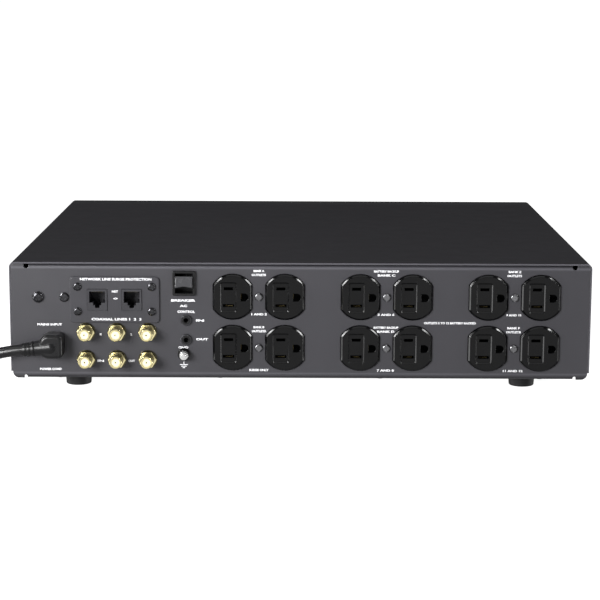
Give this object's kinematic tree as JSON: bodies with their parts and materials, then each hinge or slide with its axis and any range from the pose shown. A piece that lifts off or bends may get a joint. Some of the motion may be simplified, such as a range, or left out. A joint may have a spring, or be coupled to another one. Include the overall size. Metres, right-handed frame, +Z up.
{
  "type": "rackmount uninterruptible power supply",
  "caption": "Two-unit-high rack-width power supply box: rear panel of duplex outlets, coax and network line protection, breaker and captive lead; sliding battery drawer in front.",
  "frame": {"origin": "middle of the footprint, on the surface the unit stands on", "axes": "+Z up; -Y is the front with bezel and drawer; +Y is the rear panel; +X is the side the mains lead leaves on"},
  "size_m": [0.5974, 0.4028, 0.0995],
  "materials": {
    "case_paint": "fine textured powder coat",
    "plate_paint": "fine textured powder coat",
    "zinc_steel": "zinc plated",
    "bezel_plastic": "fine grain",
    "foot_rubber": "matte",
    "black_screw": "black oxide",
    "outlet_plastic": "polished thermoplastic",
    "contact_brass": "bright",
    "contact_gold": "gold plated",
    "bright_screw": "nickel plated",
    "breaker_plastic": "moulded",
    "rocker_plastic": "moulded",
    "nut_black": "black nickel",
    "white_plastic": "moulded",
    "jack_plastic": "moulded",
    "board_green": "solder mask",
    "relief_plastic": "moulded nylon",
    "cord_jacket": "extruded jacket",
    "plug_plastic": "moulded",
    "window_glass": "smoked acrylic",
    "clear_plastic": "clear acrylic",
    "button_plastic": "moulded",
    "battery_plastic": "moulded",
    "core_iron": "varnished laminations",
    "winding_tape": "polyester tape",
    "heatsink_aluminium": "extruded",
    "sleeve_plastic": "shrink sleeve",
    "wire_jacket": "insulation"
  },
  "bodies": {
    "unit": {"base_pan": "case_paint", "rear_panel": "case_paint", "top_cover": "case_paint", "front_wall": "zinc_steel", "battery_bay_cage": "zinc_steel", "bezel": "bezel_plastic", "rubber_feet": "foot_rubber", "foot_screws": "zinc_steel", "case_screws": "black_screw", "receptacles": "outlet_plastic", "receptacle_straps": "zinc_steel", "receptacle_contacts": "contact_brass", "receptacle_screws": "bright_screw", "breaker_body": "breaker_plastic", "trigger_jacks": "breaker_plastic", "trigger_jack_nuts": "nut_black", "ground_stud": "bright_screw", "coax_connectors": "contact_gold", "coax_nuts": "contact_gold", "coax_insulators": "white_plastic", "network_plate": "plate_paint", "network_plate_screws": "black_screw", "network_jacks": "jack_plastic", "network_contacts": "contact_gold", "panel_screws": "bright_screw", "surge_board": "board_green", "strain_relief": "relief_plastic", "power_cord": "cord_jacket", "cord_coil": "cord_jacket", "plug_body": "plug_plastic", "plug_pins": "contact_brass", "display_window": "window_glass", "display_module": "bezel_plastic", "control_board": "board_green", "light_pipes": "clear_plastic", "bay_connector": "white_plastic", "transformer_core": "core_iron", "transformer_coil": "winding_tape", "main_board": "board_green", "heatsinks": "heatsink_aluminium", "power_transistors": "breaker_plastic", "capacitors": "sleeve_plastic", "relays": "battery_plastic", "line_choke": "core_iron", "fan_frame": "breaker_plastic", "wires": "wire_jacket"},
    "breaker_rocker": {"breaker_rocker": "rocker_plastic"},
    "power_button": {"power_button": "button_plastic"},
    "menu_button_up": {"menu_button_up": "button_plastic"},
    "menu_button_down": {"menu_button_down": "button_plastic"},
    "battery_drawer": {"drawer_front": "bezel_plastic", "battery_tray": "zinc_steel", "battery_front": "battery_plastic", "battery_rear": "battery_plastic", "battery_terminals": "contact_brass", "drawer_connector": "white_plastic"},
    "thumbscrew_left": {"thumbscrew_left": "bright_screw"},
    "thumbscrew_right": {"thumbscrew_right": "bright_screw"},
    "ground_nut": {"ground_nut": "bright_screw"},
    "fan_rotor": {"fan_rotor": "breaker_plastic"}
  },
  "joints": [
    {"name": "breaker_tip", "type": "hinge", "parent": "unit", "child": "breaker_rocker", "pos_m": [0.0864, 0.1848, 0.0842], "axis": [1, 0, 0], "range_deg": [-22, 0]},
    {"name": "power_press", "type": "slide", "parent": "unit", "child": "power_button", "axis": [0, 1, 0], "range_m": [0, 0.0016], "stiffness_N_per_m": 600, "springref_m": -0.001},
    {"name": "menu_up_press", "type": "slide", "parent": "unit", "child": "menu_button_up", "axis": [0, 1, 0], "range_m": [0, 0.0016], "stiffness_N_per_m": 600, "springref_m": -0.001},
    {"name": "menu_down_press", "type": "slide", "parent": "unit", "child": "menu_button_down", "axis": [0, 1, 0], "range_m": [0, 0.0016], "stiffness_N_per_m": 600, "springref_m": -0.001},
    {"name": "drawer_slide", "type": "slide", "parent": "unit", "child": "battery_drawer", "axis": [0, -1, 0], "range_m": [0, 0.19]},
    {"name": "thumbscrew_left_turn", "type": "hinge", "parent": "battery_drawer", "child": "thumbscrew_left", "pos_m": [0.03, -0.194, 0.05575], "axis": [0, 1, 0], "continuous": true},
    {"name": "thumbscrew_right_turn", "type": "hinge", "parent": "battery_drawer", "child": "thumbscrew_right", "pos_m": [0.198, -0.194, 0.05575], "axis": [0, 1, 0], "continuous": true},
    {"name": "ground_nut_turn", "type": "hinge", "parent": "unit", "child": "ground_nut", "pos_m": [0.0866, 0.19, 0.0304], "axis": [0, 1, 0], "continuous": true},
    {"name": "fan_spin", "type": "hinge", "parent": "unit", "child": "fan_rotor", "pos_m": [-0.2, 0.062, 0.056], "axis": [1, 0, 0], "continuous": true}
  ]
}
